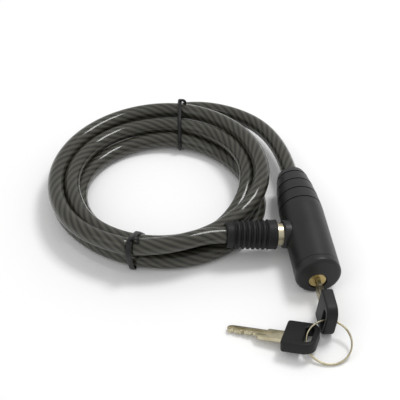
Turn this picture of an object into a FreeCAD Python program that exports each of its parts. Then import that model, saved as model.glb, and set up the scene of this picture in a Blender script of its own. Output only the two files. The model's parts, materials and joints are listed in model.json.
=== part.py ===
"""Keyed cable lock: coiled steel cable, barrel lock body, locking pin, two keys on a split ring.

Z is up, the floor is z = 0 and the lock body lies along Y with its key end towards -Y.
Millimetres throughout.
"""
import math
import os
from types import SimpleNamespace

import FreeCAD
import Part
import Sketcher

os.makedirs("parts", exist_ok=True)
doc = FreeCAD.newDocument("CableLock")
Vector = FreeCAD.Vector
Rotation = FreeCAD.Rotation


class Size:
    """A number together with the sheet expression that gives it."""

    def __init__(self, value, text):
        self.value = value
        self.text = text

    def __add__(self, other):
        other = size_of(other)
        return Size(self.value + other.value, f"({self.text} + {other.text})")

    def __sub__(self, other):
        other = size_of(other)
        return Size(self.value - other.value, f"({self.text} - {other.text})")

    def __mul__(self, other):
        other = size_of(other)
        return Size(self.value * other.value, f"({self.text} * {other.text})")

    def __truediv__(self, other):
        other = size_of(other)
        return Size(self.value / other.value, f"({self.text} / {other.text})")

    def __neg__(self):
        return Size(-self.value, f"(0 - {self.text})")


def size_of(number):
    """The number as a Size."""
    if isinstance(number, Size):
        return number
    return Size(float(number), f"{float(number):.6f}")


# ---------------------------------------------------------------- sizes
SIZES = [
    # where the lock lies
    ("lock_axis_x", 21.25, "x of the lock body's axis"),
    ("key_end_y", -15.0, "y of the lock body's key-end rim"),
    ("lock_roll", 5.5, "degrees that the lock body is rolled, with its pin side up"),
    # clearances
    ("fit_gap", 0.05, "radial gap of a pushed-in piece"),
    ("turn_gap", 0.08, "radial gap of a turning or sliding piece"),
    ("face_gap", 0.2, "gap between faces that pass each other"),
    # outer sleeve of the lock body
    ("body_r", 13.25, "outer radius of the lock body"),
    ("cap_seam", 3.2, "distance from the rim to the seam of the end cap"),
    ("taper_len", 36.5, "length of the taper, from the straight part to the cable end"),
    ("shoulder_back", 32.0, "distance from the cable end to the first taper station"),
    ("shoulder_r", 13.1, "radius at the first taper station"),
    ("waist_back", 23.0, "distance from the cable end to the second taper station"),
    ("waist_r", 12.45, "radius at the second taper station"),
    ("neck_back", 13.8, "distance from the cable end to the third taper station"),
    ("neck_r", 11.4, "radius at the third taper station"),
    ("tail_back", 4.8, "distance from the cable end to the fourth taper station"),
    ("tail_r", 9.9, "radius at the fourth taper station"),
    ("body_len", 84.5, "length from the rim to the cable end"),
    ("mouth_r", 8.6, "outer radius at the cable end"),
    ("groove_w", 0.8, "width of a ring groove in the taper"),
    ("groove_d", 0.5, "depth of a ring groove in the taper"),
    # end cap
    ("cap_face", 2.0, "how far the cap's face stands out past the rim"),
    ("cap_round", 2.3, "rounding of the cap's rim"),
    ("spigot_len", 2.0, "length of the cap's spigot"),
    # case
    ("case_r", 10.7, "radius of the metal case"),
    ("case_end", 58.0, "end of the metal case"),
    ("cavity_start", 24.6, "start of the latch cavity"),
    ("cavity_end", 44.0, "end of the latch cavity"),
    ("cavity_half_w", 4.4, "half width of the latch cavity"),
    ("cavity_top", 8.6, "height of the latch cavity above the axis"),
    ("cavity_bottom", 9.3, "depth of the latch cavity below the axis"),
    # plug
    ("plug_drop", 3.65, "how far the plug's axis lies below the body's axis"),
    ("plug_head_r", 4.85, "radius of the plug's head"),
    ("plug_r", 4.45, "radius of the plug's barrel"),
    ("plug_face", 1.2, "how far the plug's face stands past the rim"),
    ("plug_len", 24.4, "distance from the rim to the plug's inner end"),
    ("keyway_w", 2.4, "width of the keyway"),
    ("keyway_h", 5.3, "height of the keyway"),
    ("keyway_end", 22.0, "inner end of the keyway"),
    ("wafer_first", 9.0, "distance from the rim to the first wafer"),
    ("wafer_pitch", 3.4, "distance between wafers"),
    ("wafer_t", 0.9, "thickness of a wafer"),
    ("wafer_gap", 0.06, "gap on each side of a wafer"),
    ("wafer_half_w", 2.2, "half width of a wafer"),
    ("wafer_window", 2.95, "half height of a wafer's window"),
    ("wafer_foot", 3.6, "distance from the plug's axis to a wafer's short end"),
    ("wafer_groove", 0.75, "depth of the case's grooves for the wafers"),
    ("clip_pos", 22.4, "start of the clip on the plug"),
    ("clip_t", 1.2, "thickness of the clip"),
    ("clip_in_r", 3.9, "inner radius of the clip"),
    ("clip_out_r", 5.9, "outer radius of the clip"),
    ("stub_r", 1.4, "radius of the plug's rear stub"),
    # cam and latch
    ("cam_r", 4.1, "radius of the tail cam"),
    ("cam_t", 1.5, "thickness of the tail cam"),
    ("crank_r", 2.4, "radius of the cam pin's circle, which is the latch's travel"),
    ("crank_pin_r", 0.9, "radius of the cam pin"),
    ("crank_pin_len", 2.0, "length of the cam pin"),
    ("latch_x", 1.85, "distance from the lock axis to the latch plate"),
    ("latch_t", 1.8, "thickness of the latch plate"),
    ("latch_start", 26.4, "first edge of the latch plate"),
    ("latch_end", 39.6, "last edge of the latch plate"),
    ("latch_top", 5.9, "top edge of the latch plate above the axis"),
    ("latch_bottom", 8.6, "bottom edge of the latch plate below the axis"),
    ("tab_t", 1.4, "thickness of the latch's forked tab"),
    ("tab_half_w", 3.4, "reach of the forked tab past the lock axis"),
    ("fork_lag", 0.6, "extra room in the fork below the cam pin"),
    # locking pin, distances outwards from the lock axis
    ("pin_pos", 33.0, "distance from the rim to the pin's axis"),
    ("pin_r", 4.2, "radius of the locking pin"),
    ("pin_groove_r", 2.85, "radius of the pin's groove"),
    ("pin_groove_w", 2.7, "width of the pin's groove"),
    ("pin_nose", 5.6, "how far the pin's nose reaches past the lock axis"),
    ("nose_len", 1.5, "length of the nose in front of the groove"),
    ("nose_bevel", 0.6, "bevel of the pin's nose"),
    ("shank_end", 26.0, "outer end of the pin's shank"),
    ("ferrule_start", 13.2, "start of the pale ferrule"),
    ("ferrule_end", 18.8, "end of the pale ferrule"),
    ("ferrule_r", 6.7, "radius of the pale ferrule"),
    ("bush_r", 6.2, "outer radius of the guide bush"),
    ("bush_inset", 0.3, "how far the guide bush ends inside the case's surface"),
    ("collar_r", 8.3, "outer radius of the socket collar"),
    ("collar_end", 15.2, "outer end of the socket collar"),
    # ribbed sleeve on the cable end
    ("sleeve_big_r", 8.75, "radius of the ribbed sleeve at the lock"),
    ("sleeve_small_r", 7.6, "radius of the ribbed sleeve at the cable"),
    ("sleeve_end", 48.6, "outer end of the ribbed sleeve"),
    ("rib_first", 24.6, "first groove of the ribbed sleeve"),
    ("rib_pitch", 3.0, "distance between the sleeve's grooves"),
    ("rib_w", 1.2, "width of a groove in the sleeve"),
    ("rib_d", 0.9, "depth of a groove in the sleeve"),
    ("crimp_r", 6.2, "outer radius of the crimp tube"),
    ("crimp_end", 40.0, "outer end of the crimp tube"),
    # cable
    ("cable_r", 5.0, "radius of the cable"),
    ("anchor_r", 8.1, "radius of the cable anchor"),
    ("anchor_neck_r", 7.4, "radius of the cable anchor's neck"),
    ("anchor_start", 44.2, "start of the cable anchor"),
    ("anchor_back", 8.5, "distance from the cable end to the end of the cable anchor"),
    ("cable_start", 62.0, "where the cable ends inside the anchor"),
    ("cross_pin_r", 1.5, "radius of the cross pin through the anchor"),
    ("cross_pin_pos", 51.0, "distance from the rim to the cross pin"),
    # keys
    ("blade_len", 23.0, "length of a key's blade"),
    ("blade_w", 5.0, "width of a key's blade"),
    ("blade_t", 2.0, "thickness of a key's blade"),
    ("shank_len", 9.0, "length of a key's shank"),
    ("shank_w", 8.6, "width of a key's shank"),
    ("shank_drop", 0.45, "how far the shank is set below the middle of the blade"),
    ("tang_len", 5.0, "length of the tang inside the bow"),
    ("bow_len", 18.6, "length of a key's bow"),
    ("bow_w", 19.2, "width of a key's bow"),
    ("bow_t", 5.4, "thickness of a key's bow"),
    ("bow_round", 5.0, "rounding of the bow's far corners"),
    ("eye_l", 14.0, "length of the slot in the bow"),
    ("eye_w", 4.6, "width of the slot in the bow"),
    ("eye_edge", 2.9, "bar between the slot and the bow's far end"),
    ("notch_r", 1.2, "radius of the notches in the blade"),
    ("notch_d", 0.6, "depth of the notches in the blade"),
    ("key_out", 7.5, "how far the key stands out from its seat"),
    # ring
    ("ring_r", 12.4, "radius of the split ring's centreline"),
    ("ring_wire_r", 0.8, "radius of the split ring's section"),
    # coil
    ("coil_x", -80.6, "distance in x from the lock axis to the coil's centre"),
    ("coil_y", 90.6, "distance in y from the key-end rim to the coil's centre"),
]

sheet = doc.addObject("Spreadsheet::Sheet", "Sizes")
for row, (alias, number, note) in enumerate(SIZES, start=1):
    sheet.set(f"A{row}", alias)
    sheet.set(f"B{row}", str(number))
    sheet.set(f"C{row}", note)
    sheet.setAlias(f"B{row}", alias)
doc.recompute()
s = SimpleNamespace(**{alias: Size(number, f"Sizes.{alias}") for alias, number, note in SIZES})


# ---------------------------------------------------------------- helpers
def bind(item, prop, number):
    """Set one property from a Size."""
    item.setExpression(prop, size_of(number).text)


def place(item, x=0, y=0, z=0, turn=None):
    """Put an item at x, y, z, turned first."""
    numbers = [size_of(value) for value in (x, y, z)]
    turn = turn or Rotation()
    item.Placement = FreeCAD.Placement(Vector(*[n.value for n in numbers]), turn)
    for axis, number in zip("xyz", numbers):
        bind(item, f"Placement.Base.{axis}", number)
    return item


TO_X = Rotation(Vector(0, 1, 0), 90)
TO_MINUS_X = Rotation(Vector(0, 1, 0), -90)
TO_Y = Rotation(Vector(1, 0, 0), -90)


def cylinder(name, radius, height, x=0, y=0, z=0, turn=None):
    item = doc.addObject("Part::Cylinder", name)
    bind(item, "Radius", radius)
    bind(item, "Height", height)
    return place(item, x, y, z, turn)


def box(name, low, high):
    """A box between two corners, each given as x, y, z."""
    item = doc.addObject("Part::Box", name)
    low = [size_of(value) for value in low]
    high = [size_of(value) for value in high]
    for prop, a, b in zip(("Length", "Width", "Height"), low, high):
        bind(item, prop, b - a)
    return place(item, *low)


def fuse(name, *shapes):
    item = doc.addObject("Part::MultiFuse", name)
    item.Shapes = list(shapes)
    return item


def cut(name, base, *tools):
    item = doc.addObject("Part::Cut", name)
    item.Base = base
    item.Tool = tools[0] if len(tools) == 1 else fuse(name + "_tools", *tools)
    return item


def common(name, *shapes):
    item = doc.addObject("Part::MultiCommon", name)
    item.Shapes = list(shapes)
    return item


def turned(name, points):
    """A body turned about its own z axis from corners given as (radius, height)."""
    body = doc.addObject("PartDesign::Body", name)
    sketch = body.newObject("Sketcher::SketchObject", name + "_profile")
    plane = [part for part in body.Origin.OriginFeatures if part.Role == "XZ_Plane"][0]
    sketch.AttachmentSupport = [(plane, "")]
    sketch.MapMode = "FlatFace"
    corners = [(size_of(radius), size_of(height)) for radius, height in points]
    spots = [Vector(radius.value, height.value, 0) for radius, height in corners]
    count = len(spots)
    for i in range(count):
        sketch.addGeometry(Part.LineSegment(spots[i], spots[(i + 1) % count]), False)
    for i in range(count):
        sketch.addConstraint(Sketcher.Constraint("Coincident", i, 2, (i + 1) % count, 1))
    for i, (radius, height) in enumerate(corners):
        if radius.value == 0:
            sketch.addConstraint(Sketcher.Constraint("PointOnObject", i, 1, -2))
        else:
            n = sketch.addConstraint(Sketcher.Constraint("DistanceX", -1, 1, i, 1, radius.value))
            sketch.setExpression(f"Constraints[{n}]", radius.text)
        if height.value == 0:
            sketch.addConstraint(Sketcher.Constraint("PointOnObject", i, 1, -1))
        else:
            n = sketch.addConstraint(Sketcher.Constraint("DistanceY", -1, 1, i, 1, height.value))
            sketch.setExpression(f"Constraints[{n}]", height.text)
    turn = body.newObject("PartDesign::Revolution", name + "_turn")
    turn.Profile = sketch
    turn.ReferenceAxis = (sketch, ["V_Axis"])
    turn.Angle = 360
    sketch.Visibility = False
    return body


ROLL = Rotation(Vector(0, 1, 0), s.lock_roll.value)
ROLL_SIN = math.sin(math.radians(s.lock_roll.value))
ROLL_COS = math.cos(math.radians(s.lock_roll.value))


def in_lock(item):
    """Seat an item drawn in the lock's own frame: z from the key end, x across, y down."""
    return place(item, s.lock_axis_x, s.key_end_y, s.body_r, ROLL * TO_Y)


def on_pin(item):
    """Seat an item drawn along the pin: z outwards from the lock axis."""
    return place(item, s.lock_axis_x, s.key_end_y + s.pin_pos, s.body_r, ROLL * TO_MINUS_X)


# ---------------------------------------------------------------- lock body
neck_bore = s.anchor_neck_r + s.fit_gap
anchor_end = s.body_len - s.anchor_back
shell_bore = s.case_r + s.fit_gap
stations = [
    (s.shoulder_r, s.body_len - s.shoulder_back),
    (s.waist_r, s.body_len - s.waist_back),
    (s.neck_r, s.body_len - s.neck_back),
    (s.tail_r, s.body_len - s.tail_back),
]
profile = [(shell_bore, s.cap_seam), (s.body_r, s.cap_seam), (s.body_r, s.body_len - s.taper_len)]
for radius, height in stations:
    profile.append((radius, height - s.groove_w / 2))
    profile.append((radius - s.groove_d, height - s.groove_w / 2))
    profile.append((radius - s.groove_d, height + s.groove_w / 2))
    profile.append((radius, height + s.groove_w / 2))
profile.append((s.mouth_r, s.body_len))
profile.append((s.cable_r + s.fit_gap, s.body_len))
profile.append((s.cable_r + s.fit_gap, anchor_end))
profile.append((neck_bore, anchor_end))
profile.append((neck_bore, s.case_end))
profile.append((shell_bore, s.case_end))
shell = turned("shell_turned", profile)
collar_hole = cylinder(
    "collar_hole", s.collar_r + s.fit_gap, s.body_r * 2, 0, 0, s.pin_pos, TO_MINUS_X
)
outer_sleeve = in_lock(cut("outer_sleeve", shell, collar_hole))

head_gap = s.plug_head_r + s.turn_gap
cap_blank = turned(
    "cap_turned",
    [
        (0, -s.cap_face),
        (s.body_r - s.cap_round, -s.cap_face),
        (s.body_r - s.cap_round / 4, -s.cap_face + s.cap_round / 4),
        (s.body_r, -s.cap_face + s.cap_round),
        (s.body_r, s.cap_seam),
        (s.case_r, s.cap_seam),
        (s.case_r, s.cap_seam + s.spigot_len),
        (0, s.cap_seam + s.spigot_len),
    ],
)
cap_hole = cylinder(
    "cap_hole", head_gap, s.cap_face + s.cap_seam + s.spigot_len * 2, 0, s.plug_drop, -s.cap_face * 2
)
end_cap = in_lock(cut("end_cap", cap_blank, cap_hole))

# ---------------------------------------------------------------- metal case
case_start = s.cap_seam + s.spigot_len
barrel_gap = s.plug_r + s.turn_gap
groove_half = s.wafer_half_w + s.turn_gap * 2
groove_reach = barrel_gap + s.wafer_groove
clip_end = s.clip_pos + s.clip_t
anchor_seat = s.anchor_r + s.fit_gap
case_blank = cylinder("case_blank", s.case_r, s.case_end - case_start, 0, 0, case_start)
case_bore = cylinder("case_bore", barrel_gap, s.cavity_start - case_start, 0, s.plug_drop, case_start)
clip_room = cylinder(
    "clip_room", s.clip_out_r + s.turn_gap * 3, s.cavity_start - s.clip_pos + s.turn_gap,
    0, s.plug_drop, s.clip_pos - s.turn_gap,
)
groove_stop = s.clip_pos - s.face_gap * 5
upright_groove = box(
    "upright_groove",
    (-groove_half, s.plug_drop - groove_reach, case_start),
    (groove_half, s.plug_drop + groove_reach, groove_stop),
)
level_groove = box(
    "level_groove",
    (-groove_reach, s.plug_drop - groove_half, case_start),
    (groove_reach, s.plug_drop + groove_half, groove_stop),
)
cavity = box(
    "cavity",
    (-s.cavity_half_w, -s.cavity_top, s.cavity_start),
    (s.cavity_half_w, s.cavity_bottom, s.cavity_end),
)
pin_bore = cylinder("pin_bore", s.bush_r, s.case_r * 1.2, 0, 0, s.pin_pos, TO_MINUS_X)
nose_bore = cylinder("nose_bore", s.pin_r + s.turn_gap, s.pin_nose + s.face_gap * 5, 0, 0, s.pin_pos, TO_X)
anchor_bore = cylinder("anchor_bore", anchor_seat, s.case_end - s.cavity_end, 0, 0, s.cavity_end)
case_cross = cylinder(
    "case_cross", s.cross_pin_r, s.body_r * 2, -s.body_r, 0, s.cross_pin_pos, TO_X
)
lock_case = in_lock(
    cut(
        "lock_case", case_blank, case_bore, clip_room, upright_groove, level_groove,
        cavity, pin_bore, nose_bore, anchor_bore, case_cross,
    )
)

# ---------------------------------------------------------------- cable anchor and its cross pin
anchor_blank = turned(
    "anchor_turned",
    [
        (0, s.anchor_start),
        (s.anchor_r, s.anchor_start),
        (s.anchor_r, s.case_end),
        (s.anchor_neck_r, s.case_end),
        (s.anchor_neck_r, anchor_end),
        (s.cable_r, anchor_end),
        (s.cable_r, s.cable_start),
        (0, s.cable_start),
    ],
)
anchor_cross = cylinder(
    "anchor_cross", s.cross_pin_r, s.body_r * 2, -s.body_r, 0, s.cross_pin_pos, TO_X
)
cable_anchor = in_lock(cut("cable_anchor", anchor_blank, anchor_cross))
cross_half = s.case_r - s.face_gap
anchor_pin = cylinder(
    "anchor_pin", s.cross_pin_r, cross_half * 2,
    s.lock_axis_x - cross_half * ROLL_COS,
    s.key_end_y + s.cross_pin_pos,
    s.body_r + cross_half * ROLL_SIN,
    ROLL * TO_X,
)

# ---------------------------------------------------------------- plug, wafers, clip and cam
plug_head = cylinder("plug_head", s.plug_head_r, s.plug_face + case_start - s.turn_gap, 0, 0, -s.plug_face)
plug_barrel = cylinder("plug_barrel", s.plug_r, s.plug_len, 0, 0, 0)
plug_stub = cylinder("plug_stub", s.stub_r, s.cam_t + s.face_gap, 0, 0, s.plug_len)
plug_blank = fuse("plug_blank", plug_head, plug_barrel, plug_stub)
keyway = box(
    "keyway",
    (-s.keyway_w / 2, -s.keyway_h / 2, -s.plug_face * 2),
    (s.keyway_w / 2, s.keyway_h / 2, s.keyway_end),
)
clip_seat = cylinder("clip_seat", s.plug_r * 2, s.clip_t, 0, 0, s.clip_pos)
clip_core = cylinder("clip_core", s.clip_in_r, s.clip_t, 0, 0, s.clip_pos)
plug_cuts = [keyway, cut("clip_groove", clip_seat, clip_core)]
WAFERS = 4
for i in range(WAFERS):
    start = s.wafer_first + s.wafer_pitch * i
    plug_cuts.append(
        box(
            f"wafer_slot_{i + 1}",
            (-s.wafer_half_w - s.wafer_gap, -s.plug_head_r, start - s.wafer_gap),
            (s.wafer_half_w + s.wafer_gap, s.plug_head_r, start + s.wafer_t + s.wafer_gap),
        )
    )


plug_x = s.lock_axis_x - s.plug_drop * ROLL_SIN
plug_z = s.body_r - s.plug_drop * ROLL_COS


def in_plug(item):
    """Seat an item drawn about the plug's axis."""
    return place(item, plug_x, s.key_end_y, plug_z, ROLL * TO_Y)


plug = in_plug(cut("plug", plug_blank, *plug_cuts))

clip_ring = cylinder("clip_ring", s.clip_out_r, s.clip_t, 0, 0, s.clip_pos)
clip_hole = cylinder("clip_hole", s.clip_in_r, s.clip_t * 3, 0, 0, s.clip_pos - s.clip_t)
clip_mouth = box(
    "clip_mouth",
    (-s.clip_in_r * 0.7, s.stub_r, s.clip_pos - s.clip_t),
    (s.clip_in_r * 0.7, s.clip_out_r * 2, clip_end + s.clip_t),
)
plug_clip = in_plug(cut("plug_clip", clip_ring, clip_hole, clip_mouth))

cam_start = s.plug_len + s.face_gap
cam_disc = cylinder("cam_disc", s.cam_r, s.cam_t, 0, 0, cam_start)
crank_pin = cylinder("crank_pin", s.crank_pin_r, s.cam_t + s.crank_pin_len, 0, s.crank_r, cam_start)
stub_hole = cylinder("stub_hole", s.stub_r, s.cam_t * 3, 0, 0, cam_start - s.cam_t)
tail_cam = in_plug(cut("tail_cam", fuse("cam_blank", cam_disc, crank_pin), stub_hole))


def wafers(name, side, numbers):
    """Wafers that reach the plug's edge on one side: side is -1 for up and 1 for down."""
    plates = []
    for i in numbers:
        tag = f"{name}_{i + 1}"
        start = s.wafer_first + s.wafer_pitch * i
        ends = [size_of(side) * s.plug_head_r, size_of(-side) * s.wafer_foot]
        if side > 0:
            ends.reverse()
        blank = box(tag + "_blank", (-s.wafer_half_w, ends[0], start), (s.wafer_half_w, ends[1], start + s.wafer_t))
        rim = cylinder(tag + "_rim", s.plug_r, s.plug_len)
        window = box(
            tag + "_window",
            (-s.keyway_w / 2, -s.wafer_window, start - s.wafer_t),
            (s.keyway_w / 2, s.wafer_window, start + s.wafer_t * 2),
        )
        plates.append(cut(tag, common(tag + "_edge", blank, rim), window))
    return in_plug(fuse(name, *plates))


wafers_up = wafers("wafers_up", -1, (0, 2))
wafers_down = wafers("wafers_down", 1, (1, 3))

# ---------------------------------------------------------------- latch
latch_far = s.latch_x + s.latch_t
latch_blank = box(
    "latch_blank",
    (s.latch_x, -s.latch_top, s.latch_start),
    (latch_far, s.latch_bottom, s.latch_end),
)
crank_rest = s.plug_drop + s.crank_r
tab = box(
    "latch_tab",
    (-s.tab_half_w, s.plug_drop + s.face_gap, s.latch_start),
    (latch_far, s.latch_bottom, s.latch_start + s.tab_t),
)
fork_top = crank_rest - s.crank_pin_r - s.turn_gap
fork_bottom = crank_rest + s.crank_pin_r + s.fork_lag
fork = box(
    "latch_fork",
    (-s.tab_half_w * 2, fork_top, s.latch_start - s.tab_t),
    (s.crank_pin_r + s.turn_gap * 2, fork_bottom, s.latch_start + s.tab_t),
)
wide_hole = cylinder("wide_hole", s.pin_r + s.face_gap, s.latch_t * 4, 0, 0, s.pin_pos, TO_X)
narrow_hole = cylinder(
    "narrow_hole", s.pin_groove_r + s.turn_gap, s.latch_t * 4, 0, s.crank_r, s.pin_pos, TO_X
)
latch_plate = in_lock(
    cut("latch_plate", fuse("latch_bent", latch_blank, tab), fork, wide_hole, narrow_hole)
)

# ---------------------------------------------------------------- locking pin and its pieces
groove_near = -s.pin_nose + s.nose_len
pin_turned = turned(
    "locking_pin",
    [
        (0, -s.pin_nose),
        (s.pin_r - s.nose_bevel, -s.pin_nose),
        (s.pin_r, -s.pin_nose + s.nose_bevel),
        (s.pin_r, groove_near),
        (s.pin_groove_r, groove_near),
        (s.pin_groove_r, groove_near + s.pin_groove_w),
        (s.pin_r, groove_near + s.pin_groove_w),
        (s.pin_r, s.shank_end),
        (0, s.shank_end),
    ],
)
locking_pin = on_pin(pin_turned)
pin_ferrule = on_pin(
    turned(
        "pin_ferrule",
        [
            (s.pin_r, s.ferrule_start),
            (s.ferrule_r, s.ferrule_start),
            (s.ferrule_r, s.ferrule_end),
            (s.pin_r, s.ferrule_end),
        ],
    )
)
pin_crimp = on_pin(
    turned(
        "pin_crimp",
        [
            (s.pin_r, s.ferrule_end),
            (s.crimp_r, s.ferrule_end),
            (s.crimp_r, s.crimp_end),
            (s.cable_r + s.fit_gap, s.crimp_end),
            (s.cable_r + s.fit_gap, s.shank_end),
            (s.pin_r, s.shank_end),
        ],
    )
)
socket_collar = on_pin(
    turned(
        "socket_collar",
        [
            (s.pin_r + s.turn_gap * 2, s.case_r),
            (s.collar_r, s.case_r),
            (s.collar_r, s.collar_end),
            (s.ferrule_r + s.turn_gap, s.collar_end),
            (s.ferrule_r + s.turn_gap, s.ferrule_start - s.face_gap),
            (s.pin_r + s.turn_gap * 2, s.ferrule_start - s.face_gap),
        ],
    )
)
bush_end = s.case_r - s.bush_inset
socket_bush = on_pin(
    turned(
        "socket_bush",
        [
            (s.pin_r + s.turn_gap, s.cavity_half_w),
            (s.bush_r, s.cavity_half_w),
            (s.bush_r, bush_end),
            (s.pin_r + s.turn_gap, bush_end),
        ],
    )
)
RIBS = 7
sleeve_profile = [(s.crimp_r, s.ferrule_end), (s.sleeve_big_r, s.ferrule_end)]
sleeve_fall = (s.sleeve_big_r - s.sleeve_small_r) / (s.sleeve_end - s.ferrule_end)
for i in range(RIBS):
    start = s.rib_first + s.rib_pitch * i
    edge = s.sleeve_big_r - sleeve_fall * (start - s.ferrule_end)
    sleeve_profile.append((edge, start))
    sleeve_profile.append((edge - s.rib_d, start))
    sleeve_profile.append((edge - s.rib_d, start + s.rib_w))
    sleeve_profile.append((edge, start + s.rib_w))
sleeve_profile.append((s.sleeve_small_r, s.sleeve_end))
sleeve_profile.append((s.cable_r + s.fit_gap, s.sleeve_end))
sleeve_profile.append((s.cable_r + s.fit_gap, s.crimp_end))
sleeve_profile.append((s.crimp_r, s.crimp_end))
cable_sleeve = on_pin(turned("cable_sleeve", sleeve_profile))


# ---------------------------------------------------------------- keys
def key(name, turn, x, y, z):
    """A blade and a bow: x runs from the tip to the bow, y across and z through the plate."""
    shoulder = s.blade_len + s.shank_len
    blade = box(name + "_bit", (0, -s.blade_w / 2, -s.blade_t / 2), (s.blade_len, s.blade_w / 2, s.blade_t / 2))
    shank = box(
        name + "_shank",
        (s.blade_len, -s.shank_w / 2 - s.shank_drop, -s.blade_t / 2),
        (shoulder, s.shank_w / 2 - s.shank_drop, s.blade_t / 2),
    )
    tang_box = [
        (shoulder, -s.blade_w / 2, -s.blade_t / 2),
        (shoulder + s.tang_len, s.blade_w / 2, s.blade_t / 2),
    ]
    tang = box(name + "_tang", *tang_box)
    notches = []
    for i, (along, side) in enumerate(((4, 1), (7.5, -1), (11, 1), (14.5, -1), (18, 1))):
        reach = s.blade_w / 2 + s.notch_r - s.notch_d
        notches.append(
            cylinder(f"{name}_notch_{i + 1}", s.notch_r, s.blade_t * 2, along, size_of(side) * reach, -s.blade_t)
        )
    metal = cut(name + "_blade", fuse(name + "_metal", blade, shank, tang), *notches)
    half = s.bow_w / 2
    far = shoulder + s.bow_len
    long_part = box(
        name + "_bow_long",
        (shoulder, -half + s.bow_round, -s.bow_t / 2),
        (far, half - s.bow_round, s.bow_t / 2),
    )
    wide_part = box(
        name + "_bow_wide", (shoulder, -half, -s.bow_t / 2), (far - s.bow_round, half, s.bow_t / 2)
    )
    corners = []
    for i, side in enumerate((-1, 1)):
        corners.append(
            cylinder(
                f"{name}_bow_corner_{i + 1}", s.bow_round, s.bow_t,
                far - s.bow_round, size_of(side) * (half - s.bow_round), -s.bow_t / 2,
            )
        )
    eye_x = far - s.eye_edge - s.eye_w / 2
    eye_run = s.eye_l / 2 - s.eye_w / 2
    eye = [
        box(
            name + "_eye_mid",
            (eye_x - s.eye_w / 2, -eye_run, -s.bow_t),
            (eye_x + s.eye_w / 2, eye_run, s.bow_t),
        )
    ]
    for i, side in enumerate((-1, 1)):
        eye.append(
            cylinder(f"{name}_eye_end_{i + 1}", s.eye_w / 2, s.bow_t * 2, eye_x, size_of(side) * eye_run, -s.bow_t)
        )
    tang_room = box(name + "_tang_room", *tang_box)
    bow = cut(name + "_bow", fuse(name + "_bow_blank", long_part, wide_part, *corners), tang_room, *eye)
    place(metal, x, y, z, turn)
    place(bow, x, y, z, turn)
    return metal, bow


in_lock_turn = ROLL * Rotation(Vector(0, -1, 0), Vector(0, 0, 1), Vector(-1, 0, 0), "XYZ")
key_tip_y = s.key_end_y - s.plug_face - s.key_out + s.blade_len
key_blade, key_bow = key("key", in_lock_turn, plug_x, key_tip_y, plug_z)

# the spare key lies on the floor with its bow on the ring, which passes the middle of its slot
SPARE_EYE = (-13.03, -40.57, 6.226)
spare_turn = Rotation(-22.2, -6.0, -14.0)
spare_along = spare_turn.multVec(Vector(1, 0, 0))
tip_to_eye = s.blade_len + s.shank_len + s.bow_len - s.eye_edge - s.eye_w / 2
spare_key_blade, spare_key_bow = key(
    "spare_key", spare_turn,
    s.lock_axis_x + SPARE_EYE[0] - tip_to_eye * spare_along.x,
    s.key_end_y + SPARE_EYE[1] - tip_to_eye * spare_along.y,
    size_of(SPARE_EYE[2]) - tip_to_eye * spare_along.z,
)

# the ring hangs in the key's slot and leans down to the floor
RING_LEAN = Vector(0.178, 0.915, 0.365).normalize()
RING_REST = (0.0, -31.6, 10.0)
ring_across = (Vector(1, 0, 0) - RING_LEAN * RING_LEAN.x).normalize()
ring_turn = Rotation(ring_across, RING_LEAN, ring_across.cross(RING_LEAN), "XYZ")
key_ring = doc.addObject("Part::Torus", "key_ring")
bind(key_ring, "Radius1", s.ring_r)
bind(key_ring, "Radius2", s.ring_wire_r)
place(
    key_ring,
    s.lock_axis_x + RING_REST[0] - s.ring_r * RING_LEAN.x,
    s.key_end_y + RING_REST[1] - s.ring_r * RING_LEAN.y,
    size_of(RING_REST[2]) - s.ring_r * RING_LEAN.z,
    ring_turn,
)

# ---------------------------------------------------------------- cable coil and its ties
# each lobe: centre off the coil's centre in x and y, height, radius, section radius, first angle, sweep
LOBES = [
    (0.0, 0.0, 5.0, 52.0, 4.8, 0.0, 360.0),
    (0.0, 0.0, 4.8, 61.0, 4.6, 95.0, 250.0),
    (0.0, 0.0, 13.0, 54.9, 4.9, 0.0, 360.0),
    (0.0, 0.0, 15.0, 65.2, 5.0, 58.0, 192.0),
    (-14.3, 2.0, 17.5, 74.8, 5.0, -36.0, 100.0),
    (0.0, 0.0, 8.0, 56.8, 3.5, 0.0, 360.0),
]
coil_x = s.lock_axis_x + s.coil_x
coil_y = s.key_end_y + s.coil_y
rings = []
for i, (x, y, height, radius, section, first, sweep) in enumerate(LOBES):
    ring = doc.addObject("Part::Torus", f"coil_lobe_{i + 1}")
    ring.Radius1 = radius
    ring.Radius2 = section
    ring.Angle3 = sweep
    rings.append(place(ring, x, y, height, Rotation(Vector(0, 0, 1), first)))
cable_coil = place(fuse("cable_coil", *rings), coil_x, coil_y, 0)


def tube(name, points, radius):
    """A round cord along straight runs joined by tangent arcs."""
    spots = [Vector(*point) for point in points]
    edges = []
    radii = []
    start = spots[0]
    for before, here, after in zip(spots, spots[1:], spots[2:]):
        back = (before - here).normalize()
        ahead = (after - here).normalize()
        half_turn = (math.pi - back.getAngle(ahead)) / 2
        shorter = min((before - here).Length, (after - here).Length)
        bend = 0.45 * shorter / math.tan(half_turn)
        reach = bend * math.tan(half_turn)
        first = here + back * reach
        last = here + ahead * reach
        inward = (back + ahead).normalize()
        middle = here + inward * (bend / math.cos(half_turn) - bend)
        edges.append(Part.makeLine(start, first))
        edges.append(Part.Arc(first, middle, last).toShape())
        radii.append(bend)
        start = last
    edges.append(Part.makeLine(start, spots[-1]))
    path = Part.Wire(edges)
    ring = Part.Wire(Part.makeCircle(radius, spots[0], spots[1] - spots[0]))
    solid = path.makePipeShell([ring], True, True)
    print(f"{name}: bend radii", " ".join(f"{value:.0f}" for value in radii))
    print(f"{name}: volume {solid.Volume:.0f}, section x length {math.pi * radius ** 2 * path.Length:.0f}")
    item = doc.addObject("Part::Feature", name)
    item.Shape = solid
    return item


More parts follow.
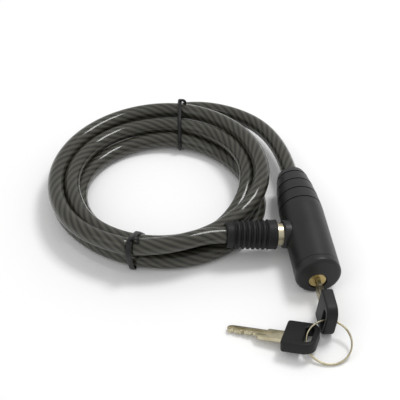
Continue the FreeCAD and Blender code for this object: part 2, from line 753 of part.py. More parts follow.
# points are relative to the lock axis and the key-end rim
LOCK_CABLE = [
    (0, 62, 13.25),
    (0, 96, 13.25),
    (-2, 119, 13.25),
    (-10, 143, 11.5),
    (-27, 161.5, 9),
    (-50, 171.5, 7.5),
    (-75, 172, 7.5),
    (-98, 162.5, 6.5),
    (-115, 145.5, 6),
]
PIN_CABLE = [
    (-25.98, 33, 15.752),
    (-57.733, 33, 18.809),
    (-76, 28.5, 18.8),
    (-95, 27.5, 18.5),
    (-113, 32, 17.5),
]


def from_lock(points):
    return [(x + s.lock_axis_x.value, y + s.key_end_y.value, z) for x, y, z in points]


cable_lock_stretch = tube("cable_lock_stretch", from_lock(LOCK_CABLE), s.cable_r.value)
cable_end_stretch = tube("cable_end_stretch", from_lock(PIN_CABLE), s.cable_r.value)


def tie(name, angle, outline, half_w, thickness):
    """A band bent round the coil's section: outline is radius and height from the coil's centre."""
    loop = [Vector(radius, -half_w, height) for radius, height in outline]
    outer = Part.makePolygon(loop + loop[:1])
    frame = outer.makeOffset2D(0, 0, False, False, False)
    wide = Part.Face(Part.Wire(frame.makeOffset2D(thickness).Edges))
    ring = wide.cut(Part.Face(frame)).extrude(Vector(0, half_w * 2, 0))
    ring.rotate(Vector(0, 0, 0), Vector(0, 0, 1), angle)
    ring.translate(Vector(coil_x.value, coil_y.value, 0))
    item = doc.addObject("Part::Feature", name)
    item.Shape = ring
    return item


TOP_TIE = [(47, 2.4), (86, 2.4), (89, 8), (86, 13.5), (76, 19.5), (66, 18), (47, 12)]
BOTTOM_TIE = [(46, 1.2), (66, 1.2), (69.5, 8), (71, 19), (66, 24.3), (60, 23), (46, 11)]
tie_top = tie("tie_top", 77, TOP_TIE, 1.2, 2.4)
tie_bottom = tie("tie_bottom", 250, BOTTOM_TIE, 1.7, 1.2)

# ---------------------------------------------------------------- checks and export
NODES = [
    outer_sleeve, end_cap, lock_case, cable_anchor, anchor_pin, socket_collar, socket_bush,
    plug, plug_clip, tail_cam, wafers_up, wafers_down, latch_plate,
    locking_pin, pin_ferrule, pin_crimp, cable_sleeve,
    key_blade, key_bow, key_ring, spare_key_blade, spare_key_bow,
    cable_lock_stretch, cable_coil, cable_end_stretch, tie_top, tie_bottom,
]
doc.recompute()
for item in doc.Objects:
    if "Invalid" in item.State or "Error" in item.State:
        raise RuntimeError(f"{item.Name} did not build: {item.State}")
for node in NODES:
    shape = node.Shape
    if shape.isNull() or not shape.isValid() or not shape.Solids:
        raise RuntimeError(f"{node.Name} has no good solid")
    node.Label = node.Name
    shape.exportStep(f"parts/{node.Name}.step")
    bounds = shape.BoundBox
    print(
        f"{node.Name}: x {bounds.XMin:.1f}..{bounds.XMax:.1f} y {bounds.YMin:.1f}..{bounds.YMax:.1f}"
        f" z {bounds.ZMin:.1f}..{bounds.ZMax:.1f} solids {len(shape.Solids)}"
    )
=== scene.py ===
"""Looks of the keyed cable lock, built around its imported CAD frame."""
import json
import math

import bmesh
import bpy
from mathutils import Matrix, Vector


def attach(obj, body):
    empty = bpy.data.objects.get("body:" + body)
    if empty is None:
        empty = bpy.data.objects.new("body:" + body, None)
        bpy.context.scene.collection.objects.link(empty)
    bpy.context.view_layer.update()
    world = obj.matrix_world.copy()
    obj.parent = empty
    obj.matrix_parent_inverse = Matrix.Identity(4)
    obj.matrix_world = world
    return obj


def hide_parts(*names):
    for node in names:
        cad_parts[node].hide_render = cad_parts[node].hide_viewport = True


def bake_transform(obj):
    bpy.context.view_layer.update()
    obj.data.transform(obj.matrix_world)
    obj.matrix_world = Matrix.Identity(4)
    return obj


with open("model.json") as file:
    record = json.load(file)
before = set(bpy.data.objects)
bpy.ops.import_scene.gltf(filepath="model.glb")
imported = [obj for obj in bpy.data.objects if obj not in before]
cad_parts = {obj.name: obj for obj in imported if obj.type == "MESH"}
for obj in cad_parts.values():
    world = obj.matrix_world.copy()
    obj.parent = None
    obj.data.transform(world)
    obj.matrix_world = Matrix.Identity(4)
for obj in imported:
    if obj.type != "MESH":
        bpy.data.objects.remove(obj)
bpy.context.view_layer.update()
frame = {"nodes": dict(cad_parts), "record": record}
MM = 0.001

# the lock body's axis, key-end rim, radius and roll, where the pin goes in, and the
# coil's centre, in mm
LOCK_X = 21.25
KEY_END_Y = -15.0
BODY_R = 13.25
PIN_POS = 33.0
ROLL = math.radians(5.5)
COIL_X = LOCK_X - 80.6
COIL_Y = KEY_END_Y + 90.6


# ---------------------------------------------------------------- camera
camera_data = bpy.data.cameras.new("camera")
camera_data.lens = 90.0
camera_data.sensor_width = 36.0
camera_data.clip_start = 0.01
camera = bpy.data.objects.new("camera", camera_data)
camera.location = (-89.59 * MM, -396.22 * MM, 422.16 * MM)
camera.rotation_euler = (math.radians(48.0), 0.0, math.radians(-6.54))
bpy.context.collection.objects.link(camera)
bpy.context.scene.camera = camera


# ---------------------------------------------------------------- cable route
# points from the lock body's axis and key-end rim to the coil, in mm
LOCK_RUN = [
    (0, 62, 13.25),
    (0, 78, 13.25),
    (0, 97, 13.25),
    (-3, 119, 13.25),
    (-11, 142, 11.5),
    (-27, 159.6, 9.5),
    (-45.5, 169.2, 8.3),
]
# the coil about its centre: angle in degrees, radius and height in mm
STATIONS = [
    (77, 82, 7.6), (92, 77.6, 6.5), (106, 72.5, 5.2), (120, 69, 5), (140, 67.5, 5),
    (160, 66.5, 5), (180, 65.5, 5), (200, 64, 5), (216, 62, 5), (235, 61.8, 5.6),
    (250, 62.5, 6.2), (265, 62.8, 5.6), (280, 63.6, 5), (303, 63.9, 5), (325, 64.2, 5),
    (340, 62.6, 5), (352, 59.5, 5), (366, 55, 5), (380, 53, 5), (400, 52, 5),
    (418, 50.8, 6.1), (437, 50.3, 6.9), (457, 49.8, 6.1), (480, 50.2, 5), (500, 51, 5),
    (525, 52, 5), (545, 52.6, 5), (560, 53, 5), (580, 52, 5), (600, 50.8, 5.8),
    (612, 50.6, 6.2), (630, 51, 5.3), (655, 51, 5.6), (672, 51.2, 7.2), (690, 51.9, 10),
    (706, 53.1, 12.8), (718, 54.2, 14.5), (737, 55.4, 15.2), (755, 56, 14.8), (772, 56.5, 14),
    (786, 57.5, 13), (797, 58.2, 12.6), (822, 57.6, 12.4), (836, 57.8, 12.4), (852, 57.9, 12.4),
    (868, 57.4, 12.8), (885, 57, 13.4), (900, 56.6, 13.8), (912, 56.4, 14.2), (927, 57.6, 13.6),
    (946, 58, 13.9), (960, 58, 14.2), (970, 57.8, 14.1), (985, 57.2, 13.6), (1006, 56.8, 13.4),
    (1019, 57.2, 14.3), (1031, 58.6, 16.2), (1042, 60.6, 18.2), (1055, 62, 20), (1068, 62.8, 21),
    (1082, 62.6, 21.4), (1092, 62.4, 21.2), (1106, 63.5, 20.4), (1119, 65.3, 18.8),
    (1132, 67.8, 17), (1145, 70.3, 16), (1157, 71.2, 15.6), (1174, 70.4, 15.2),
    (1191, 69, 15.2), (1206, 68, 15.2), (1222, 67.2, 15.2), (1237, 66.8, 15.2),
    (1252, 66.6, 15.2), (1266, 66.5, 15.8), (1280, 67, 16.8), (1292, 68, 17.8),
    (1305, 68.2, 18.5), (1318, 67.6, 18.8), (1330, 67.2, 19.2),
]
# points from the end of the coil to the locking pin's sleeve, as LOCK_RUN
PIN_RUN = [
    (-103.8, 28.2, 19.2),
    (-94, 26.4, 19.5),
    (-80, 26.2, 20),
    (-68, 29.4, 20),
    (-58.5, 32.4, 19.2),
    (-49, 33, 17.97),
    (-25.98, 33, 15.752),
]

# degrees between the coil's control points
COIL_STEP = 15


def station(angle):
    """Radius and height of the coil at an angle, between its stations."""
    for (a0, r0, z0), (a1, r1, z1) in zip(STATIONS, STATIONS[1:]):
        if a0 <= angle <= a1:
            share = (angle - a0) / (a1 - a0)
            return r0 + share * (r1 - r0), z0 + share * (z1 - z0)
    return STATIONS[-1][1:]


def coil_points():
    """Control points of the coil's turns."""
    first, last = STATIONS[0][0], STATIONS[-1][0]
    count = round((last - first) / COIL_STEP)
    points = []
    for i in range(count + 1):
        angle = first + (last - first) * i / count
        radius, height = station(angle)
        turn = math.radians(angle)
        points.append((COIL_X + radius * math.cos(turn), COIL_Y + radius * math.sin(turn), height))
    return points


def route(name, points):
    """A smooth NURBS line through control points in mm."""
    data = bpy.data.curves.new(name, "CURVE")
    data.dimensions = "3D"
    data.resolution_u = 8
    spline = data.splines.new("NURBS")
    spline.points.add(len(points) - 1)
    for spot, (x, y, z) in zip(spline.points, points):
        spot.co = (x * MM, y * MM, z * MM, 1.0)
    spline.order_u = 4
    spline.use_endpoint_u = True
    return bpy.data.objects.new(name, data)


def line_of(curve):
    """The points along a bare curve."""
    bpy.context.collection.objects.link(curve)
    bpy.context.view_layer.update()
    mesh = bpy.data.meshes.new_from_object(curve)
    points = [vertex.co.copy() for vertex in mesh.vertices]
    bpy.data.meshes.remove(mesh)
    bpy.data.objects.remove(curve)
    return points


def sweep(name, points, section, closed=False, side=None):
    """A mesh that carries a closed section of (side, up) pairs along points.

    Its UVs are the length in cm and the share of a turn.
    """
    count = len(points)
    tangents = []
    for i in range(count):
        ahead = points[(i + 1) % count] if closed or i < count - 1 else points[i]
        behind = points[i - 1] if closed or i > 0 else points[i]
        tangents.append((ahead - behind).normalized())
    if side is None:
        side = tangents[0].cross(Vector((0, 0, 1))).normalized()
    bm = bmesh.new()
    uv_layer = bm.loops.layers.uv.new("UVMap")
    rings = []
    lengths = [0.0]
    for i in range(count):
        if i:
            lengths.append(lengths[-1] + (points[i] - points[i - 1]).length)
        side = (side - tangents[i] * side.dot(tangents[i])).normalized()
        lift = side.cross(tangents[i]).normalized()
        rings.append([bm.verts.new(points[i] + side * a + lift * b) for a, b in section])
    size = len(section)
    steps = count if closed else count - 1
    lengths.append(lengths[-1] + (points[0] - points[-1]).length)
    for i in range(steps):
        here, there = rings[i], rings[(i + 1) % count]
        for j in range(size):
            k = (j + 1) % size
            face = bm.faces.new((here[j], here[k], there[k], there[j]))
            face.smooth = True
            start, end = lengths[i], lengths[i + 1]
            spots = ((start, j), (start, j + 1), (end, j + 1), (end, j))
            for loop, (along, around) in zip(face.loops, spots):
                loop[uv_layer].uv = (along * 100, around / size)
    if not closed:
        bm.faces.new(list(reversed(rings[0])))
        bm.faces.new(rings[-1])
    bmesh.ops.recalc_face_normals(bm, faces=bm.faces)
    mesh = bpy.data.meshes.new(name)
    bm.to_mesh(mesh)
    bm.free()
    piece = bpy.data.objects.new(name, mesh)
    bpy.context.collection.objects.link(piece)
    return piece


def circle(radius, sides):
    """A round section."""
    return [
        (radius * math.cos(2 * math.pi * i / sides), radius * math.sin(2 * math.pi * i / sides))
        for i in range(sides)
    ]


def placed(points):
    """Points from the lock body's axis and rim, moved into the row frame."""
    return [(x + LOCK_X, y + KEY_END_Y, z) for x, y, z in points]


cable_section = circle(5.0 * MM, 28)
main_line = line_of(route("main_route", placed(LOCK_RUN) + coil_points()))
cable_main = sweep("cable_main", main_line, cable_section)
pin_line = line_of(route("pin_route", placed(PIN_RUN)))
cable_end = sweep("cable_end", pin_line, cable_section)


# ---------------------------------------------------------------- cable ties
def band(width, thickness, steps=5):
    """A flat section with rounded edges."""
    edge = thickness / 2
    reach = width / 2 - edge
    section = []
    for side, first in ((1, -90), (-1, 90)):
        for i in range(steps + 1):
            turn = math.radians(first + 180 * i / steps)
            section.append((side * reach + edge * math.cos(turn), edge * math.sin(turn)))
    return section


def hull(points):
    """The convex outline round points, anticlockwise."""
    ordered = sorted(set(points))
    sides = []
    for run in (ordered, ordered[::-1]):
        side = []
        for x, y in run:
            while len(side) > 1:
                (x0, y0), (x1, y1) = side[-2], side[-1]
                if (x1 - x0) * (y - y0) - (y1 - y0) * (x - x0) > 1e-9:
                    break
                side.pop()
            side.append((x, y))
        sides += side[:-1]
    return sides


LOOP_SIDES = 36


def bundle_loop(angle, reach, lowest, lean=0.0):
    """Points of a loop round the coil's strands at an angle.

    It goes no lower than lowest, and lean draws its inner side back along the strands.
    """
    spots = []
    first, last = STATIONS[0][0], STATIONS[-1][0]
    turned_to = angle
    while turned_to <= last:
        if turned_to >= first:
            radius, height = station(turned_to)
            for across, up in circle(reach, LOOP_SIDES):
                spots.append((radius + across, max(height + up, lowest)))
        turned_to += 360
    outline = hull(spots)
    outer = max(r for r, z in outline)
    turn = math.radians(angle)
    return [
        (Vector((COIL_X + r * math.cos(turn), COIL_Y + r * math.sin(turn), z))
         - along_coil(angle) * (outer - r) * lean) * MM
        for r, z in outline
    ]


def along_coil(angle):
    """The direction of the strands at an angle."""
    turn = math.radians(angle)
    return Vector((-math.sin(turn), math.cos(turn), 0))


HOOK_STEPS = 24


def hook(name, start, ahead, radius, sweep_deg, section):
    """A band's free end, curled up from a point and over along a direction."""
    upward = Vector((0, 0, 1))
    points = []
    for i in range(HOOK_STEPS + 1):
        turn = math.radians(sweep_deg * i / HOOK_STEPS)
        points.append(start + (ahead * (1 - math.cos(turn)) + upward * math.sin(turn)) * radius)
    return sweep(name, points, section, side=ahead.cross(upward))


# the top tie is a round wire, the bottom one a flat band
TOP_ANGLE = 77
TOP_WIRE_R = 1.25
TOP_LEAN = 0.12
BOTTOM_ANGLE = 250
BAND_W = 3.4
BAND_T = 1.3
top_along = along_coil(TOP_ANGLE)
top_loop = bundle_loop(TOP_ANGLE, 6.1, TOP_WIRE_R, TOP_LEAN)
bottom_along = along_coil(BOTTOM_ANGLE)
bottom_loop = bundle_loop(BOTTOM_ANGLE, 6.2, BAND_T / 2)
tie_top = sweep("tie_top_loop", top_loop, circle(TOP_WIRE_R * MM, 16), closed=True, side=top_along)
tie_bottom = sweep(
    "tie_bottom_band", bottom_loop, band(BAND_W * MM, BAND_T * MM), closed=True, side=bottom_along,
)

# their free ends: an eye of thinner wire, and a curl of narrower band
top_spot = max(top_loop, key=lambda point: point.z)
tie_top_eye = hook("tie_top_eye", top_spot, -top_along, 1.9 * MM, 250, circle(0.9 * MM, 12))
bottom_spot = max(bottom_loop, key=lambda point: point.z)
tie_bottom_curl = hook(
    "tie_bottom_curl", bottom_spot, bottom_along, 2.3 * MM, 200, band(2.6 * MM, 1.1 * MM),
)


# ---------------------------------------------------------------- turned pieces
ROLLED = Matrix.Rotation(ROLL, 4, "Y")
LOCK_PLACE = (
    Matrix.Translation(Vector((LOCK_X, KEY_END_Y, BODY_R)) * MM)
    @ ROLLED @ Matrix.Rotation(math.radians(-90), 4, "X")
)
PIN_PLACE = (
    Matrix.Translation(Vector((LOCK_X, KEY_END_Y + PIN_POS, BODY_R)) * MM)
    @ ROLLED @ Matrix.Rotation(math.radians(-90), 4, "Y")
)
SHARP = math.radians(40)


def lathe(name, profile, place, sides=112):
    """A turned piece from (radius, height) corners in mm, closed at both ends."""
    bm = bmesh.new()
    rings = [
        [bm.verts.new((x * MM, y * MM, height * MM)) for x, y in circle(radius, sides)]
        for radius, height in profile
    ]
    for here, there in zip(rings, rings[1:]):
        for i in range(sides):
            j = (i + 1) % sides
            bm.faces.new((here[i], here[j], there[j], there[i])).smooth = True
    bm.faces.new(list(reversed(rings[0])))
    bm.faces.new(rings[-1])
    bmesh.ops.recalc_face_normals(bm, faces=bm.faces)
    mesh = bpy.data.meshes.new(name)
    bm.to_mesh(mesh)
    bm.free()
    mesh.set_sharp_from_angle(angle=SHARP)
    mesh.transform(place)
    piece = bpy.data.objects.new(name, mesh)
    bpy.context.collection.objects.link(piece)
    return piece


def rounded(corner_radius, centre_radius, centre_height, first, last, steps=8):
    """An arc of a profile, angles from the outward direction in degrees."""
    spots = []
    for i in range(steps + 1):
        turn = math.radians(first + (last - first) * i / steps)
        spots.append((
            centre_radius + corner_radius * math.cos(turn),
            centre_height + corner_radius * math.sin(turn),
        ))
    return spots


def without(piece, cutter):
    """The piece with a cutter's shape taken out of it."""
    change = piece.modifiers.new("cut", "BOOLEAN")
    change.object = cutter
    change.solver = "EXACT"
    shape = piece.evaluated_get(bpy.context.evaluated_depsgraph_get())
    mesh = bpy.data.meshes.new_from_object(shape)
    piece.modifiers.clear()
    piece.data = mesh
    bpy.data.objects.remove(cutter)
    mesh.set_sharp_from_angle(angle=SHARP)


# end cap: the face stands out past the rim, and the seam lies behind it
CAP_FACE = 2.0
CAP_SEAM = 3.2
CAP_ROUND = 2.3
SEAM_ROUND = 0.35
SEAM_DEPTH = 0.9
cap_profile = rounded(CAP_ROUND, BODY_R - CAP_ROUND, CAP_ROUND - CAP_FACE, -90, 0)
cap_profile += rounded(SEAM_ROUND, BODY_R - SEAM_ROUND, CAP_SEAM - 0.4, 0, 90, 4)
cap_profile.append((BODY_R - SEAM_DEPTH, CAP_SEAM))
end_cap = lathe("end_cap_body", cap_profile, LOCK_PLACE)

# the plug's hole, with a recess that leaves a dark ring round the brass
PLUG_DROP = 3.65
PLUG_HEAD_R = 4.85
HOLE_R = PLUG_HEAD_R + 0.1
RECESS_R = PLUG_HEAD_R + 0.6
hole_profile = [
    (RECESS_R + 0.2, -CAP_FACE - 1), (RECESS_R, -CAP_FACE + 0.3), (RECESS_R, -CAP_FACE + 1.1),
    (HOLE_R, -CAP_FACE + 1.2), (HOLE_R, CAP_SEAM + 1),
]
plug_down = Matrix.Translation((0, PLUG_DROP * MM, 0))
plug_hole = lathe("plug_hole", hole_profile, LOCK_PLACE @ plug_down)
without(end_cap, plug_hole)

# ribbed sleeve, heights outwards from the lock body's axis
SLEEVE_START = 18.8
SLEEVE_END = 48.6
SLEEVE_BIG = 8.75
SLEEVE_SMALL = 7.6
SLEEVE_BORE = 5.06
SLEEVE_EDGE = 0.6
SLEEVE_STEPS = 160
RIB_FIRST = 25.2
RIB_PITCH = 3.0
RIB_COUNT = 7
RIB_DEPTH = 1.1
RIB_RISE = 0.45


def sleeve_radius(height):
    """Outer radius of the ribbed sleeve: round ribs between narrow grooves."""
    share = (height - SLEEVE_START) / (SLEEVE_END - SLEEVE_START)
    radius = SLEEVE_BIG + share * (SLEEVE_SMALL - SLEEVE_BIG)
    ribs = (height - RIB_FIRST) / RIB_PITCH
    if -0.5 < ribs < RIB_COUNT - 0.5:
        radius += RIB_RISE - RIB_DEPTH * (0.5 + 0.5 * math.cos(2 * math.pi * ribs)) ** 1.6
    return radius


first_edge = SLEEVE_START + SLEEVE_EDGE
last_edge = SLEEVE_END - SLEEVE_EDGE
sleeve_profile = [(SLEEVE_BORE, SLEEVE_START), (SLEEVE_BIG - SLEEVE_EDGE, SLEEVE_START)]
sleeve_profile += rounded(SLEEVE_EDGE, SLEEVE_BIG - SLEEVE_EDGE, first_edge, -90, 0, 4)[1:]
for i in range(1, SLEEVE_STEPS):
    height = first_edge + (last_edge - first_edge) * i / SLEEVE_STEPS
    sleeve_profile.append((sleeve_radius(height), height))
sleeve_profile += rounded(SLEEVE_EDGE, SLEEVE_SMALL - SLEEVE_EDGE, last_edge, 0, 90, 4)
sleeve_profile.append((SLEEVE_BORE, SLEEVE_END))
ribbed_sleeve = lathe("ribbed_sleeve", sleeve_profile, PIN_PLACE)

# collar round the pin's socket, with a short mouth
COLLAR_R = 8.3
COLLAR_START = 10.7
COLLAR_END = 15.2
COLLAR_ROUND = 1.3
MOUTH_R = 6.78
MOUTH_DEPTH = 2.0
collar_profile = [(MOUTH_R, COLLAR_START), (COLLAR_R, COLLAR_START)]
collar_profile += rounded(COLLAR_ROUND, COLLAR_R - COLLAR_ROUND, COLLAR_END - COLLAR_ROUND, 0, 90)
collar_profile.append((MOUTH_R, COLLAR_END))
collar_profile.append((MOUTH_R, COLLAR_END - MOUTH_DEPTH))
pin_collar = lathe("pin_collar", collar_profile, PIN_PLACE)


# ---------------------------------------------------------------- keys and ring
# a key lies along +x from its tip, its width along y
SHOULDER = 32.0
BOW_LEN = 18.6
BOW_HALF = 9.6
GRIP_T = 6.4
GRIP_EDGE = 0.8
EYE_L = 14.0
EYE_W = 4.6
EYE_EDGE = 2.9
PLUG_X = LOCK_X - PLUG_DROP * math.sin(ROLL)
PLUG_Z = BODY_R - PLUG_DROP * math.cos(ROLL)
KEY_TIP_Y = KEY_END_Y + 14.3
SPARE_EYE = (-13.03, -40.57, 6.226)
TIP_TO_EYE = SHOULDER + BOW_LEN - EYE_EDGE - EYE_W / 2

KEY_AXES = Matrix(((0, 0, -1), (-1, 0, 0), (0, 1, 0))).to_4x4()
KEY_PLACE = Matrix.Translation(Vector((PLUG_X, KEY_TIP_Y, PLUG_Z)) * MM) @ ROLLED @ KEY_AXES
SPARE_TURN = (
    Matrix.Rotation(math.radians(-22.2), 4, "Z")
    @ Matrix.Rotation(math.radians(-6.0), 4, "Y")
    @ Matrix.Rotation(math.radians(-14.0), 4, "X")
)
SPARE_PLACE = (
    Matrix.Translation(Vector(placed([SPARE_EYE])[0]) * MM)
    @ SPARE_TURN @ Matrix.Translation((-TIP_TO_EYE * MM, 0, 0))
)


def soft_box(x0, x1, y0, y1, corners, steps=10):
    """An outline with rounded corners, their radii anticlockwise from the lower left one."""
    spots = []
    places = ((x0, y0, 180), (x1, y0, 270), (x1, y1, 0), (x0, y1, 90))
    for (x, y, first), radius in zip(places, corners):
        cx = x + radius if x == x0 else x - radius
        cy = y + radius if y == y0 else y - radius
        for i in range(steps + 1):
            turn = math.radians(first + 90 * i / steps)
            spots.append((cx + radius * math.cos(turn), cy + radius * math.sin(turn)))
    return spots


def plate(name, outlines, thickness, edge, place):
    """A plate with rolled edges from closed outlines, the later ones being holes."""
    data = bpy.data.curves.new(name, "CURVE")
    data.dimensions = "2D"
    data.fill_mode = "BOTH"
    data.extrude = (thickness / 2 - edge) * MM
    data.bevel_depth = edge * MM
    data.bevel_resolution = 3
    data.offset = -edge * MM
    for outline in outlines:
        spline = data.splines.new("POLY")
        spline.points.add(len(outline) - 1)
        spline.use_cyclic_u = True
        for spot, (x, y) in zip(spline.points, outline):
            spot.co = (x * MM, y * MM, 0, 1)
    shape = bpy.data.objects.new(name + "_shape", data)
    bpy.context.collection.objects.link(shape)
    bpy.context.view_layer.update()
    seen = shape.evaluated_get(bpy.context.evaluated_depsgraph_get())
    mesh = bpy.data.meshes.new_from_object(seen)
    bpy.data.objects.remove(shape)
    mesh.shade_smooth()
    mesh.set_sharp_from_angle(angle=math.radians(50))
    mesh.transform(place)
    piece = bpy.data.objects.new(name, mesh)
    bpy.context.collection.objects.link(piece)
    return piece


def bow(name, place, low, high):
    """A key's bow between two edges: a rounded grip with a slot for the ring."""
    far = SHOULDER + BOW_LEN
    grip = soft_box(SHOULDER, far, low, high, (1.6, 6.5, 6.5, 1.6))
    eye_far = far - EYE_EDGE
    slot_round = EYE_W / 2 - 0.01
    eye = soft_box(eye_far - EYE_W, eye_far, -EYE_L / 2, EYE_L / 2, (slot_round,) * 4)
    return plate(name, (grip, eye), GRIP_T, GRIP_EDGE, place)


def block(name, low, high, place):
    """A box between two corners in mm."""
    bm = bmesh.new()
    bmesh.ops.create_cube(bm, size=1)
    size = Vector(high) - Vector(low)
    middle = (Vector(high) + Vector(low)) / 2
    shape = Matrix.Translation(middle * MM) @ Matrix.Diagonal((*(size * MM), 1))
    bm.transform(place @ shape)
    mesh = bpy.data.meshes.new(name)
    bm.to_mesh(mesh)
    bm.free()
    piece = bpy.data.objects.new(name, mesh)
    bpy.context.collection.objects.link(piece)
    return piece


BIT_LEN = 23.0
BIT_HALF = 2.5
SHANK_LOW = -4.75
SHANK_HIGH = 3.85
BLADE_T = 2.0
MILL_D = 0.45
# place along the blade and depth of each cut
CUTS = ((3.6, 0.9), (6.4, 0.5), (9.2, 1.1), (12.0, 0.7), (14.6, 1.0))


def blade(name, place):
    """A key's blade and shank, with cuts along the lower edge and milled grooves."""
    outline = [
        (SHOULDER + 1, SHANK_LOW), (SHOULDER + 1, SHANK_HIGH), (BIT_LEN, SHANK_HIGH),
        (BIT_LEN - 0.6, SHANK_HIGH - 0.5), (BIT_LEN - 0.6, BIT_HALF), (2.4, BIT_HALF),
        (1.0, BIT_HALF - 0.6), (0.2, 0.9), (0.0, 0.0), (0.3, -1.0),
    ]
    for i in range(57):
        along = 1.4 + i * 0.25
        cut = sum(depth * math.exp(-(((along - spot) / 0.75) ** 2)) for spot, depth in CUTS)
        outline.append((along, cut - BIT_HALF + 0.2))
    outline += [(16.6, -BIT_HALF), (17.4, -3.6), (18.6, SHANK_LOW)]
    piece = plate(name, (outline,), BLADE_T, 0.16, place)
    for face in (-BLADE_T / 2, BLADE_T / 2):
        low, high = face - MILL_D, face + MILL_D
        groove = block(name + "_groove", (-1, -0.7, low), (BIT_LEN + 3, 0.5, high), place)
        without(piece, groove)
        ledge = block(name + "_ledge", (15.5, -2.9, low), (BIT_LEN - 0.6, -2.2, high), place)
        without(piece, ledge)
    return piece


# the grips are a little wider than the solids, where the floor leaves room
SPARE_RISE = Matrix.Translation((0, 0, 0.5 * MM))
key_grip = bow("key_grip", KEY_PLACE, -BOW_HALF, BOW_HALF + 1.7)
spare_grip = bow("spare_grip", SPARE_PLACE @ SPARE_RISE, -BOW_HALF - 1.2, BOW_HALF + 1.6)
key_metal = blade("key_metal", KEY_PLACE)
spare_metal = blade("spare_metal", SPARE_PLACE)

# split ring: two turns side by side that step over halfway
RING_LEAN = Vector((0.178, 0.915, 0.365)).normalized()
RING_REST = Vector((LOCK_X, KEY_END_Y - 31.6, 10.0))
RING_R = 12.4
RING_STEPS = 288
RING_STEP_OVER = 0.52
ring_across = (Vector((1, 0, 0)) - RING_LEAN * RING_LEAN.x).normalized()
ring_normal = ring_across.cross(RING_LEAN)
ring_centre = RING_REST - RING_LEAN * RING_R
ring_points = []
for i in range(RING_STEPS + 1):
    share = i / RING_STEPS
    turn = 4 * math.pi * share + 2.2
    aside = RING_STEP_OVER * math.tanh(14 * (share - 0.5))
    radial = ring_across * math.cos(turn) + RING_LEAN * math.sin(turn)
    ring_points.append((ring_centre + radial * RING_R + ring_normal * aside) * MM)
split_ring = sweep("split_ring", ring_points, band(1.0 * MM, 0.9 * MM, 6), side=ring_normal)


# ---------------------------------------------------------------- materials
def material(name):
    """A new material with its nodes, links and main shader."""
    made = bpy.data.materials.new(name)
    made.use_nodes = True
    nodes = made.node_tree.nodes
    shader = nodes["Principled BSDF"]
    return made, nodes, made.node_tree.links, shader


def noise(nodes, links, scale, detail=4.0):
    """A noise texture fixed to the piece."""
    place = nodes.new("ShaderNodeTexCoord")
    made = nodes.new("ShaderNodeTexNoise")
    made.inputs["Scale"].default_value = scale
    made.inputs["Detail"].default_value = detail
    links.new(place.outputs["Object"], made.inputs["Vector"])
    return made


def ramp(nodes, links, source, stops):
    """Colours along a value, as (place, colour) stops."""
    made = nodes.new("ShaderNodeValToRGB")
    while len(made.color_ramp.elements) < len(stops):
        made.color_ramp.elements.new(0.5)
    for element, (spot, colour) in zip(made.color_ramp.elements, stops):
        element.position = spot
        element.color = (*colour, 1.0)
    links.new(source, made.inputs["Fac"])
    return made


def bumped(nodes, links, shader, source, strength, distance):
    """Gives the shader a bump from a value."""
    made = nodes.new("ShaderNodeBump")
    made.inputs["Strength"].default_value = strength
    made.inputs["Distance"].default_value = distance
    links.new(source, made.inputs["Height"])
    links.new(made.outputs["Normal"], shader.inputs["Normal"])


def rough_range(nodes, links, shader, source, low, high):
    """Gives the shader a roughness between two values."""
    made = nodes.new("ShaderNodeMapRange")
    made.inputs["To Min"].default_value = low
    made.inputs["To Max"].default_value = high
    links.new(source, made.inputs["Value"])
    links.new(made.outputs["Result"], shader.inputs["Roughness"])


def moulded(name, dark, light, low, high, shine):
    """Moulded plastic or rubber with a fine grain and slight mottling."""
    made, nodes, links, shader = material(name)
    cloud = noise(nodes, links, 90.0)
    tint = ramp(nodes, links, cloud.outputs["Fac"], [(0.3, dark), (0.75, light)])
    links.new(tint.outputs["Color"], shader.inputs["Base Color"])
    shader.inputs["Specular IOR Level"].default_value = shine
    rough_range(nodes, links, shader, cloud.outputs["Fac"], low, high)
    fine = noise(nodes, links, 2600.0, 2.0)
    bumped(nodes, links, shader, fine.outputs["Fac"], 0.12, 0.0002)
    return made


def metal(name, dark, light, low, high):
    """Metal with fine rubbing marks and tarnish."""
    made, nodes, links, shader = material(name)
    shader.inputs["Metallic"].default_value = 1.0
    cloud = noise(nodes, links, 220.0, 6.0)
    tint = ramp(nodes, links, cloud.outputs["Fac"], [(0.35, dark), (0.65, light)])
    links.new(tint.outputs["Color"], shader.inputs["Base Color"])
    fine = noise(nodes, links, 900.0, 8.0)
    rough_range(nodes, links, shader, fine.outputs["Fac"], low, high)
    bumped(nodes, links, shader, fine.outputs["Fac"], 0.15, 0.0001)
    return made


def math_node(nodes, links, operation, source, other):
    """A value worked out from a source and a number or a second source."""
    made = nodes.new("ShaderNodeMath")
    made.operation = operation
    links.new(source, made.inputs[0])
    if isinstance(other, float):
        made.inputs[1].default_value = other
    else:
        links.new(other, made.inputs[1])
    return made.outputs["Value"]


STRANDS = 8.0
LAY_CM = 5.6


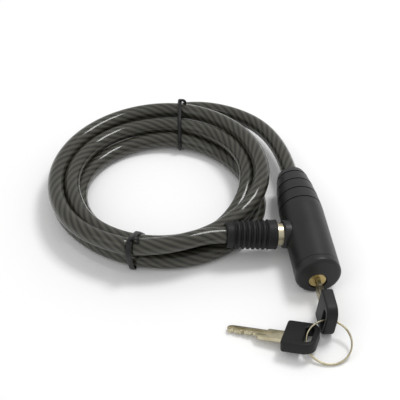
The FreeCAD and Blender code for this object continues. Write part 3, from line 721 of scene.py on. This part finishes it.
def cable_material():
    """Smoke-coloured clear jacket over twisted steel strands."""
    made, nodes, links, shader = material("cable_jacket")
    place = nodes.new("ShaderNodeUVMap")
    split = nodes.new("ShaderNodeSeparateXYZ")
    links.new(place.outputs["UV"], split.inputs["Vector"])
    turns = math_node(nodes, links, "MULTIPLY", split.outputs["X"], 1 / LAY_CM)
    twist = math_node(nodes, links, "ADD", turns, split.outputs["Y"])
    strands = math_node(nodes, links, "MULTIPLY", twist, STRANDS)
    part = math_node(nodes, links, "PINGPONG", strands, 0.5)
    crown = math_node(nodes, links, "MULTIPLY", part, 2.0)
    tint = ramp(
        nodes, links, crown,
        [(0.0, (0.007, 0.007, 0.005)), (0.3, (0.028, 0.027, 0.020)), (1.0, (0.066, 0.063, 0.048))],
    )
    links.new(tint.outputs["Color"], shader.inputs["Base Color"])
    shader.inputs["Specular IOR Level"].default_value = 0.15
    shader.inputs["Roughness"].default_value = 0.45
    shader.inputs["Coat Weight"].default_value = 1.0
    shader.inputs["Coat Roughness"].default_value = 0.06
    shader.inputs["Coat IOR"].default_value = 1.38
    bumped(nodes, links, shader, crown, 0.5, 0.0003)
    return made


LOOKS = {
    "cable_jacket": cable_material(),
    "black_shell": moulded(
        "black_shell", (0.010, 0.010, 0.0105), (0.015, 0.015, 0.0155), 0.34, 0.5, 0.35,
    ),
    "bow_plastic": moulded(
        "bow_plastic", (0.005, 0.005, 0.005), (0.008, 0.008, 0.008), 0.42, 0.6, 0.3,
    ),
    "sleeve_rubber": moulded(
        "sleeve_rubber", (0.004, 0.004, 0.004), (0.008, 0.008, 0.008), 0.45, 0.6, 0.3,
    ),
    "tie_plastic": moulded(
        "tie_plastic", (0.006, 0.006, 0.006), (0.010, 0.010, 0.010), 0.3, 0.45, 0.3,
    ),
    "brass": metal("brass", (0.42, 0.32, 0.13), (0.58, 0.46, 0.22), 0.28, 0.45),
    "pale_metal": metal("pale_metal", (0.46, 0.41, 0.27), (0.62, 0.57, 0.42), 0.24, 0.42),
    "steel": metal("steel", (0.45, 0.45, 0.45), (0.62, 0.62, 0.62), 0.28, 0.45),
    "case_metal": metal("case_metal", (0.30, 0.30, 0.31), (0.42, 0.42, 0.43), 0.4, 0.6),
}


# ---------------------------------------------------------------- what the pieces stand for
for subpart in frame["record"]["subparts"]:
    node = frame["nodes"][subpart["node"]]
    for slot in node.material_slots:
        slot.material = LOOKS[subpart["material_slot"]]
cable_main.data.materials.append(LOOKS["cable_jacket"])
cable_end.data.materials.append(LOOKS["cable_jacket"])
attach(cable_main, "lock")
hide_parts("cable_lock_stretch", "cable_coil")
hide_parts("cable_end_stretch")
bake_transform(cable_end)
# each other piece with its body, the node that it replaces and its material
PIECES = {
    tie_top: ("lock", "tie_top", "tie_plastic"),
    tie_bottom: ("lock", "tie_bottom", "tie_plastic"),
    end_cap: ("lock", "end_cap", "black_shell"),
    ribbed_sleeve: ("pin_end", "cable_sleeve", "sleeve_rubber"),
    key_grip: ("key", "key_bow", "bow_plastic"),
    spare_grip: ("spare_key", "spare_key_bow", "bow_plastic"),
    key_metal: ("key", "key_blade", "pale_metal"),
    spare_metal: ("spare_key", "spare_key_blade", "pale_metal"),
    split_ring: ("ring", "key_ring", "pale_metal"),
    pin_collar: ("lock", "socket_collar", "black_shell"),
    tie_top_eye: ("lock", None, "tie_plastic"),
    tie_bottom_curl: ("lock", None, "tie_plastic"),
}
for piece, (body, node, slot) in PIECES.items():
    piece.data.materials.clear()
    piece.data.materials.append(LOOKS[slot])
    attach(piece, body)
    if node:
        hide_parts(node)


# ---------------------------------------------------------------- floor and light
bpy.ops.mesh.primitive_plane_add(size=6)
floor = bpy.context.object
floor.name = "floor"
floor_look, nodes, links, shader = material("floor")
shader.inputs["Base Color"].default_value = (0.97, 0.97, 0.97, 1)
shader.inputs["Roughness"].default_value = 0.7
shader.inputs["Specular IOR Level"].default_value = 0.1
floor.data.materials.append(floor_look)


def area_light(name, where, towards, size, power):
    """A square lamp at a place, aimed at another."""
    data = bpy.data.lights.new(name, "AREA")
    data.shape = "RECTANGLE"
    data.size = size
    data.size_y = size
    data.energy = power
    lamp = bpy.data.objects.new(name, data)
    lamp.location = where
    aim = Vector(towards) - Vector(where)
    lamp.rotation_euler = aim.to_track_quat("-Z", "Y").to_euler()
    bpy.context.collection.objects.link(lamp)


LIT_SPOT = (0, 0.03, 0)
area_light("key_light", (0.35, 0.3, 0.9), LIT_SPOT, 0.3, 4.2)
area_light("fill_light", (-0.8, -0.5, 0.8), LIT_SPOT, 0.8, 1.5)
world = bpy.data.worlds.new("world")
world.use_nodes = True
backdrop = world.node_tree.nodes["Background"]
backdrop.inputs["Color"].default_value = (1, 1, 1, 1)
backdrop.inputs["Strength"].default_value = 0.68
bpy.context.scene.world = world
bpy.context.scene.view_settings.view_transform = "Standard"
